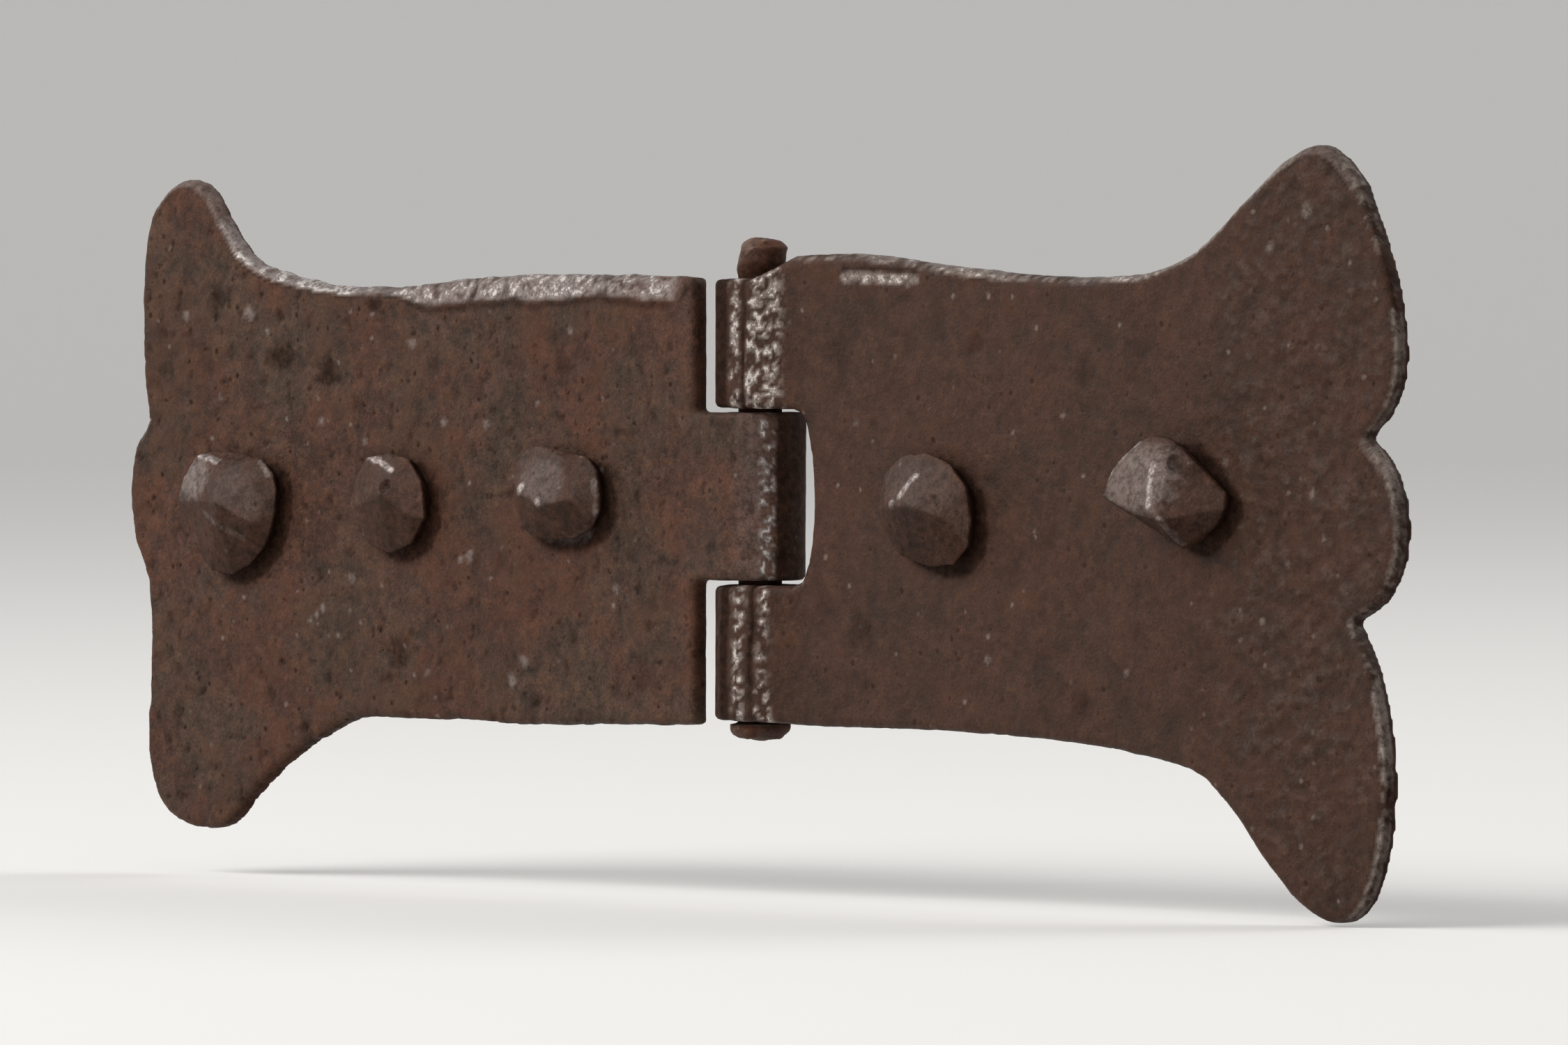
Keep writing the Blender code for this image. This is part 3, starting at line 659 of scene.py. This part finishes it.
class Nail:
    """A nail's fine mesh, with what the forging steps need to know of each vertex.

    front is the leaf's front face, on which the head's centre lies. head is 1 on the head
    and 0 on the shank, and facets are the normals before the forging.
    """

    def __init__(self, node, back):
        self.node = node
        self.piece = fine_piece(node, NAIL_VOXEL, 2)
        self.mesh = self.piece.data
        self.co = read_points(self.mesh)
        self.edges = read_edges(self.mesh)
        self.facets = read_normals(self.mesh)
        self.front = back - PLATE
        tip = self.co[self.co[:, 1] > self.co[:, 1].max() - 1 * MM].mean(0)
        self.centre = np.array([tip[0], self.front, tip[2]])
        self.head = (self.co[:, 1] < self.front + 0.1 * MM).astype(float)

    def on_head(self, sideways, up, out):
        """The point at a place on the head, which is given in mm from the head's centre."""
        return self.centre + np.array([sideways, -out, up]) * MM

    def hammer(self):
        """Sets the head down on its leaf, then chips and roughens it."""
        # the rim comes down on to the leaf, and the crown stays where it is
        lower = 1 - step_up(self.front - self.co[:, 1], 0.3 * MM, 1.4 * MM)
        self.co[:, 1] += (NAIL_LIFT + RIM_SINK) * lower * self.head
        for sideways, up, out, radius in CHIPS[self.node]:
            self.co = chipped(self.co, self.on_head(sideways, up, out), radius * MM)
        write_points(self.mesh, self.co)
        seed = 30 + len(self.node) + int(self.centre[0] / MM)    # another grain for each head
        self.lumps = grain(self.co, NAIL_LUMP_SIZE, 3, seed=seed)
        self.fine = grain(self.co, NAIL_FINE_SIZE, 3, seed=seed + 1)
        offset = NAIL_LUMP_DEPTH * self.lumps + NAIL_FINE_DEPTH * self.fine * self.head
        self.co = self.co + read_normals(self.mesh) * (offset * MM)[:, None]
        write_points(self.mesh, self.co)

    def paint(self):
        """Stores where the head is worn bright, rusty and dirty, and where highlights and shade are painted on it.
        """
        facing = relaxed(self.facets, self.edges, np.ones(len(self.co)), 3) @ LIT_WAY
        bulge = convexity(self.co, read_normals(self.mesh), self.edges, NAIL_VOXEL)
        # facets that face down get painted shade, which also dims their highlights
        below = step_up(-self.facets[:, 2], 0.05, 0.45) * self.head
        wear_and_highlight = self.wear_and_highlight(facing, bulge)
        store(self.mesh, "wear_and_highlight", wear_and_highlight * self.head * (1 - 0.7 * below))
        store(self.mesh, "rust", 0.35 + 0.5 * self.lumps - 0.25 * self.head)
        store(self.mesh, "grime_and_shade", self.grime_and_shade(facing, bulge, below))

    def wear_and_highlight(self, facing, bulge):
        """Painted highlight where the head faces the light and on its right, worn metal with painted highlight at
        its crests, and painted glints.
        """
        to_right, to_front = self.facets[:, 0], -self.facets[:, 1]
        right = step_up(to_right + 0.2 * self.lumps, 0.25, 0.7) * step_up(to_front, 0.35, 0.7)
        wear_and_highlight = HEAD_LIT_HIGHLIGHT * step_up(facing + 0.16 * self.fine, 0.72, 1.0) + HEAD_RIGHT_HIGHLIGHT * right
        wear_and_highlight += HEAD_CREST_WEAR * step_up(bulge, 0.12, 0.36) * step_up(facing, 0.3, 0.9)
        for start, end, radius, strength in GLINTS[self.node]:
            start, end = (self.on_head(x, up, out + GLINT_LIFT) for x, up, out in (start, end))
            near = distance_to_line(self.co, start, end) / (radius * MM)
            glint = strength * (1 - step_up(near + 0.35 * self.fine, 0.6, 1.2)) * (1 + 0.35 * self.fine)
            wear_and_highlight = np.maximum(wear_and_highlight, glint)
        return wear_and_highlight

    def grime_and_shade(self, facing, bulge, below):
        """Dirt in the hollows and all over, and painted shade underneath and low on the rim where no light falls.
        """
        rise = self.front - self.co[:, 1]
        rim_wall = self.head * (1 - step_up(rise, 0.6 * MM, 1.3 * MM)) * step_up(-facing, -0.45, 0.1)
        hollows = step_up(-bulge, 0.04, 0.22)
        grime_and_shade = HEAD_HOLLOW_DIRT * hollows + HEAD_RIM_SHADE * rim_wall
        return grime_and_shade + HEAD_BELOW_SHADE * below + HEAD_DIRT * self.head


def forge_pin(node):
    """The pin, with a hammered top end and a burred bottom end."""
    piece = fine_piece(node, PIN_VOXEL, 2)
    mesh = piece.data
    co = read_points(mesh)
    edges = read_edges(mesh)
    low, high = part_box(node)
    above = step_up(co[:, 2], high.z - 3 * MM, high.z - 2 * MM)
    end = above + 1 - step_up(co[:, 2], low.z + MM, low.z + 2 * MM)
    lumps = grain(co, PIN_LUMP_SIZE, 3, seed=41)
    fine = grain(co, PIN_FINE_SIZE, 2, seed=42)
    offset = (PIN_SHANK_DEPTH + PIN_LUMP_DEPTH * end) * lumps + PIN_FINE_DEPTH * end * fine
    co = co + read_normals(mesh) * (offset * MM)[:, None]

    # the top end was struck from one side and leans a little
    top = step_up(co[:, 2], high.z - PIN_TOP, high.z)
    co[:, 0] += PIN_TOP_LEAN * top
    co[:, 2] -= PIN_TOP_SLOPE * top * (co[:, 0] - AXIS.x)
    write_points(mesh, co)

    normals = read_normals(mesh)
    bulge = convexity(co, normals, edges, PIN_VOXEL)
    # painted highlight where the pin faces the light, and painted shade on its far side
    facing = normals @ LIT_WAY
    crests = PIN_CREST_WEAR * step_up(bulge, 0.04, 0.25) * step_up(facing, -0.2, 0.6)
    far_side = PIN_FAR_SIDE_SHADE * step_up(-facing, 0.0, 0.6)
    store(mesh, "wear_and_highlight", crests + PIN_LIT_HIGHLIGHT * step_up(facing, 0.5, 1.0))
    store(mesh, "rust", 0.45 + 0.6 * lumps)
    store(mesh, "grime_and_shade", step_up(-bulge, 0.03, 0.2) + PIN_SHANK_DIRT * (1 - end) + far_side)
    return piece


# ---- iron material -------------------------------------------------------

def add_node(tree, kind, inputs=None, **settings):
    """A shader node, with each input either linked from a socket or set to a value."""
    made = tree.nodes.new("ShaderNode" + kind)
    for key, value in settings.items():
        setattr(made, key, value)
    for key, value in (inputs or {}).items():
        if isinstance(value, bpy.types.NodeSocket):
            tree.links.new(value, made.inputs[key])
        else:
            made.inputs[key].default_value = value
    return made


def math_node(tree, operation, a, b=0.0, clamp=False):
    made = add_node(tree, "Math", {0: a, 1: b}, operation=operation, use_clamp=clamp)
    return made.outputs[0]


def times(tree, a, b):
    return math_node(tree, "MULTIPLY", a, b)


def plus(tree, a, b, clamp=False):
    return math_node(tree, "ADD", a, b, clamp)


def mix_colour(tree, factor, a, b, blend="MIX"):
    made = add_node(tree, "Mix", {0: factor, 6: a, 7: b}, data_type="RGBA", blend_type=blend)
    return made.outputs[2]


def grey(tree, value):
    return add_node(tree, "CombineColor", {0: value, 1: value, 2: value}).outputs[0]


def ramp(tree, value, low, high, to_low=0.0, to_high=1.0):
    """Smooth step of a socket from low to high."""
    inputs = {"Value": value, "From Min": low, "From Max": high, "To Min": to_low, "To Max": to_high}
    return add_node(tree, "MapRange", inputs, interpolation_type="SMOOTHSTEP").outputs["Result"]


def noise_node(tree, where, size, detail=2.0, roughness=0.5, distortion=0.0):
    """Noise with features of a size in metres."""
    inputs = {"Vector": where, "Scale": 1 / size, "Detail": detail}
    inputs.update({"Roughness": roughness, "Distortion": distortion})
    return add_node(tree, "TexNoise", inputs).outputs["Fac"]


def bumped(tree, height, distance, before=None):
    """The normal after a bump as high as distance, on top of the bumps before it."""
    inputs = {"Height": height, "Distance": distance, "Strength": 1.0}
    if before is not None:
        inputs["Normal"] = before
    return add_node(tree, "Bump", inputs).outputs["Normal"]


# Colours that all the irons share: the dark of dirt and of painted shade, and the barest metal, which also paints
# the brightest highlights
DIRT_AND_SHADE = (0.0100, 0.0046, 0.0030, 1)
BRIGHT = (0.62, 0.58, 0.55, 1)

# Colours of each iron, then where in the noise it lies and how strong its mottling is
IRONS = {
    "frame_iron": {
        "patina": (0.0450, 0.0213, 0.0131, 1), "patina_warm": (0.0510, 0.0226, 0.0136, 1),
        "rust_colour": (0.059, 0.0250, 0.0140, 1), "worn_and_highlight_colour": (0.27, 0.225, 0.20, 1),
        "seed": 0.11, "contrast": 0.85},
    "door_iron": {
        "patina": (0.053, 0.0295, 0.0187, 1), "patina_warm": (0.063, 0.0272, 0.0165, 1),
        "rust_colour": (0.068, 0.0290, 0.0172, 1), "worn_and_highlight_colour": (0.28, 0.240, 0.225, 1),
        "seed": 0.23, "contrast": 1.2},
    "pin_iron": {
        "patina": (0.050, 0.0225, 0.0145, 1), "patina_warm": (0.068, 0.028, 0.016, 1),
        "rust_colour": (0.095, 0.034, 0.016, 1), "worn_and_highlight_colour": (0.27, 0.22, 0.19, 1),
        "seed": 0.41, "contrast": 1.0},
    "nail_iron": {
        "patina": (0.054, 0.0270, 0.0180, 1), "patina_warm": (0.062, 0.0290, 0.0185, 1),
        "rust_colour": (0.072, 0.031, 0.017, 1), "worn_and_highlight_colour": (0.27, 0.225, 0.21, 1),
        "seed": 0.67, "contrast": 1.0},
}

# Sizes of the features that the iron's noises make, from broad to fine
BROAD = 12 * MM
BLOTCH = 5.5 * MM
MOTTLE = 2.4 * MM
SPECK_SPACING = 1.7 * MM
PORE_SPACING = 1.3 * MM
CRUMB = 0.85 * MM
SAND = 0.26 * MM
SPECK_WANDER = 0.9 * MM       # how far the outline of a bright speck strays

# Heights of the bumps, which are too fine for the mesh
MOTTLE_BUMP = 0.20 * MM
CRUMB_BUMP = 0.13 * MM
SAND_BUMP = 0.045 * MM


def attribute(tree, name):
    """What the forging stored on the mesh under a name."""
    return add_node(tree, "Attribute", attribute_name=name).outputs["Fac"]


def cells(tree, where, spacing):
    """Scattered points, about a spacing apart: distance to the nearest, and its colour."""
    return add_node(tree, "TexVoronoi", {"Vector": where, "Scale": 1 / spacing}, feature="F1").outputs


class Grains:
    """The noises of one iron, from broad to fine, and its scattered pores and specks."""

    def __init__(self, tree, seed):
        place = add_node(tree, "TexCoord").outputs["Object"]
        where = add_node(tree, "VectorMath", {0: place, 1: (seed, 0.37 * seed, 0.11 * seed)}).outputs[0]
        self.broad = noise_node(tree, where, BROAD, 5, 0.60)
        self.blotch = noise_node(tree, where, BLOTCH, 5, 0.62, 0.5)
        self.mottle = noise_node(tree, where, MOTTLE, 6, 0.72, 0.3)
        self.crumbs = noise_node(tree, where, CRUMB, 5, 0.68)
        self.sand = noise_node(tree, where, SAND, 3, 0.65)
        self.pores = cells(tree, where, PORE_SPACING)
        wander = grey(tree, times(tree, self.crumbs, SPECK_WANDER))
        wandered = add_node(tree, "VectorMath", {0: where, 1: wander}).outputs[0]
        self.specks = cells(tree, wandered, SPECK_SPACING)


def mottled(tree, grains, patina, patina_warm, contrast):
    """The patina's two hues, mottled at four sizes."""
    colour = mix_colour(tree, ramp(tree, grains.broad, 0.42, 0.58), patina, patina_warm)
    for fac, depth in (
            (grains.blotch, 0.20), (grains.mottle, 0.24), (grains.crumbs, 0.28), (grains.sand, 0.26)):
        depth *= contrast
        shade = ramp(tree, fac, 0.30, 0.70, 1 - depth, 1 + depth)
        colour = mix_colour(tree, 1.0, colour, grey(tree, shade), "MULTIPLY")
    return colour


def rust_amount(tree, grains):
    """How rusty the iron is: where the mesh says so, broken up by the noises."""
    stored = times(tree, attribute(tree, "rust"), 0.30)
    rusty = plus(tree, plus(tree, stored, grains.blotch), times(tree, grains.crumbs, 0.25))
    return ramp(tree, rusty, 0.66, 0.92)


def pit_amount(tree, grains):
    """Small round pits, in patches."""
    pit = ramp(tree, grains.pores["Distance"], 0.10, 0.38, 1.0, 0.0)
    return times(tree, pit, ramp(tree, grains.mottle, 0.50, 0.62))


def bare_amount(tree, grains):
    """How bare the metal is, with the painted highlights: where the mesh says so, broken up, and in stray specks.
    """
    lot = add_node(tree, "SeparateColor", {0: grains.specks["Color"]}).outputs[0]
    speck = ramp(tree, grains.specks["Distance"], 0.06, 0.24, 1.0, 0.0)
    speck = times(tree, speck, ramp(tree, lot, 0.84, 0.93))
    broken = plus(tree, grains.crumbs, times(tree, grains.sand, 0.4))
    worn = times(tree, attribute(tree, "wear_and_highlight"), ramp(tree, broken, 0.50, 0.86, 0.35, 1.25))
    bare = math_node(tree, "MAXIMUM", worn, times(tree, speck, 0.40), True)
    clean = math_node(tree, "SUBTRACT", 1.0, times(tree, attribute(tree, "grime_and_shade"), 0.75), True)
    return times(tree, bare, clean)


def iron(name, patina, patina_warm, rust_colour, worn_and_highlight_colour, seed, contrast):
    """Old forged iron: a brown patina with mottling, rust, pits, dirt and worn metal, and the highlights and shade
    painted on the mesh.
    """
    material = bpy.data.materials.new(name)
    material.use_nodes = True
    tree = material.node_tree
    shader = tree.nodes["Principled BSDF"]
    grains = Grains(tree, seed)
    rusty = rust_amount(tree, grains)
    pit = pit_amount(tree, grains)
    grime_and_shade = times(tree, attribute(tree, "grime_and_shade"), ramp(tree, grains.crumbs, 0.25, 0.65, 1.15, 0.75))
    dark = math_node(tree, "MAXIMUM", times(tree, pit, 0.7 * contrast), grime_and_shade, True)
    bare = bare_amount(tree, grains)

    colour = mottled(tree, grains, patina, patina_warm, contrast)
    colour = mix_colour(tree, times(tree, rusty, 0.45), colour, rust_colour)
    colour = mix_colour(tree, times(tree, dark, 0.88), colour, DIRT_AND_SHADE)
    colour = mix_colour(tree, bare, colour, worn_and_highlight_colour)
    colour = mix_colour(tree, ramp(tree, bare, 0.80, 1.0, 0.0, 0.6), colour, BRIGHT)
    tree.links.new(colour, shader.inputs["Base Color"])

    # rougher where it is rusty, dirty or painted with shade, and smoother and more metallic where it is bare or
    # painted with highlights
    rough = ramp(tree, grains.crumbs, 0.3, 0.7, 0.40, 0.60)
    rough = plus(tree, rough, times(tree, rusty, 0.18))
    rough = plus(tree, rough, times(tree, dark, 0.15))
    rough = math_node(tree, "SUBTRACT", rough, times(tree, bare, 0.10), True)
    tree.links.new(rough, shader.inputs["Roughness"])
    tree.links.new(ramp(tree, bare, 0.1, 0.9, 0.0, 0.60), shader.inputs["Metallic"])
    tree.links.new(ramp(tree, dark, 0.0, 1.0, 0.13, 0.03), shader.inputs["Specular IOR Level"])

    relief = bumped(tree, plus(tree, grains.mottle, times(tree, pit, -0.5)), MOTTLE_BUMP)
    relief = bumped(tree, grains.crumbs, CRUMB_BUMP, relief)
    relief = bumped(tree, grains.sand, SAND_BUMP, relief)
    tree.links.new(relief, shader.inputs["Normal"])
    return material


# ---- stage, lights and camera --------------------------------------------

# The studio floor: radius of its flat part, radius of its curve and height of its wall, in metres
COVE_FLAT = 3.0
COVE_CURVE = 1.2
COVE_WALL = 0.9
COVE_STEPS = 14               # points along the curve
COVE_TURNS = 96               # steps of the spin round the middle
FLOOR_GAP = 0.3 * MM          # between the floor and the lowest point of the CAD
FLOOR_COLOUR = (0.66, 0.65, 0.63, 1)
FLOOR_GLOW = (1.0, 0.99, 0.97, 1)
SKY_COLOUR = (0.97, 0.98, 1.0, 1)

# Softboxes: (name, azimuth and elevation in degrees, distance, size, power, colour)
LIGHTS = [
    ("key_softbox", -20, 38, 1.4, (1.1, 0.7), 16, (1.0, 0.985, 0.96)),
    ("side_softbox", -66, 24, 1.7, (0.7, 0.9), 4, (0.96, 0.98, 1.0)),
    ("back_softbox", 160, 30, 1.7, (1.0, 0.8), 9, (1.0, 0.99, 0.98)),
]


def make_cove(floor_height):
    """A round pale studio floor that curves up into a low wall on every side."""
    profile = [(0.0, 0.0), (COVE_FLAT, 0.0)]
    for turn in np.linspace(0.1, math.pi / 2, COVE_STEPS):
        profile.append((COVE_FLAT + COVE_CURVE * math.sin(turn), COVE_CURVE * (1 - math.cos(turn))))
    profile.append((COVE_FLAT + COVE_CURVE, COVE_CURVE + COVE_WALL))
    bm = bmesh.new()
    verts = [bm.verts.new((radius, 0, height)) for radius, height in profile]
    edges = [bm.edges.new(pair) for pair in zip(verts, verts[1:])]
    bmesh.ops.spin(
        bm, geom=verts + edges, cent=(0, 0, 0), axis=(0, 0, 1), angle=2 * math.pi, steps=COVE_TURNS)
    bmesh.ops.remove_doubles(bm, verts=bm.verts[:], dist=1e-4)
    bmesh.ops.recalc_face_normals(bm, faces=bm.faces[:])
    mesh = bpy.data.meshes.new("studio_floor")
    bm.to_mesh(mesh)
    bm.free()
    mesh.shade_smooth()
    floor = bpy.data.objects.new("studio_floor", mesh)
    floor.location = (0, 0, floor_height)
    bpy.context.scene.collection.objects.link(floor)
    material = bpy.data.materials.new("studio_floor")
    material.use_nodes = True
    shader = material.node_tree.nodes["Principled BSDF"]
    shader.inputs["Base Color"].default_value = FLOOR_COLOUR
    shader.inputs["Roughness"].default_value = 0.9
    shader.inputs["Specular IOR Level"].default_value = 0.1
    shader.inputs["Emission Color"].default_value = FLOOR_GLOW
    shader.inputs["Emission Strength"].default_value = 0.12
    mesh.materials.append(material)


def direction(azimuth, elevation):
    """Unit vector from the hinge towards a place round it; azimuth 0 is straight in front."""
    flat = math.cos(elevation)
    return Vector((math.sin(azimuth) * flat, -math.cos(azimuth) * flat, math.sin(elevation)))


def make_light(name, azimuth, elevation, distance, size, power, colour):
    """A rectangular softbox round the hinge, turned to face it."""
    data = bpy.data.lights.new(name, "AREA")
    data.shape = "RECTANGLE"
    data.size, data.size_y = size
    data.energy = power
    data.color = colour
    light = bpy.data.objects.new(name, data)
    towards = direction(math.radians(azimuth), math.radians(elevation))
    light.location = AXIS + towards * distance
    light.rotation_mode = "QUATERNION"
    light.rotation_quaternion = (-towards).to_track_quat("-Z", "Y")
    bpy.context.scene.collection.objects.link(light)


def make_camera():
    """Camera where the photograph's stood, turned to the hinge, on a long lens."""
    eye = AXIS + direction(CAMERA_AZIMUTH, CAMERA_ELEVATION) * CAMERA_DISTANCE
    middle = (cad_low.z + cad_high.z) / 2
    left = (Vector((cad_low.x, 0, middle)) - eye).normalized()
    right = (Vector((cad_high.x, 0, middle)) - eye).normalized()
    aim = left + right
    data = bpy.data.cameras.new("camera")
    data.sensor_width = SENSOR
    data.lens = SENSOR / 2 * FRAME_FILL / math.tan(left.angle(right) / 2)
    data.clip_start = 0.05
    data.clip_end = 20
    camera = bpy.data.objects.new("camera", data)
    camera.location = eye
    camera.rotation_mode = "QUATERNION"
    camera.rotation_quaternion = aim.to_track_quat("-Z", "Y")
    bpy.context.scene.collection.objects.link(camera)
    bpy.context.scene.camera = camera


def make_world():
    world = bpy.data.worlds.new("studio")
    world.use_nodes = True
    background = world.node_tree.nodes["Background"]
    background.inputs["Color"].default_value = SKY_COLOUR
    background.inputs["Strength"].default_value = 0.55
    bpy.context.scene.world = world


# ---- the hinge -----------------------------------------------------------

def finish_piece(piece, node, material):
    """Gives a piece its iron, and says which CAD node it stands for and rides with."""
    piece.data.materials.clear()
    piece.data.materials.append(material)
    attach(piece, BODY_OF[node])
    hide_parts(node)


make_camera()
make_world()
make_cove(cad_low.z - FLOOR_GAP)
for light in LIGHTS:
    make_light(*light)
bpy.context.scene.view_settings.view_transform = "Standard"

irons = {name: iron(name, **looks) for name, looks in IRONS.items()}

for name, looks in LEAVES.items():
    node = name + "_leaf"
    back = BACK_OF[node + "_back"]
    nails = [nail_node for nail_node in sorted(BODY_OF) if nail_node.startswith(name + "_nail_")]
    leaf = Leaf(node, looks["side"], back, looks["rustiness"])
    leaf.bevel(*looks["bevel"])
    leaf.hammer(looks["dents"], looks["horn_grain"])
    leaf.paint(looks["stains"], looks["flecks"], nails, looks["bevel_shine"])
    finish_piece(leaf.piece, node, irons[name + "_iron"])
    for nail_node in nails:
        nail = Nail(nail_node, back)
        nail.hammer()
        nail.paint()
        finish_piece(nail.piece, nail_node, irons["nail_iron"])
finish_piece(forge_pin("hinge_pin"), "hinge_pin", irons["pin_iron"])
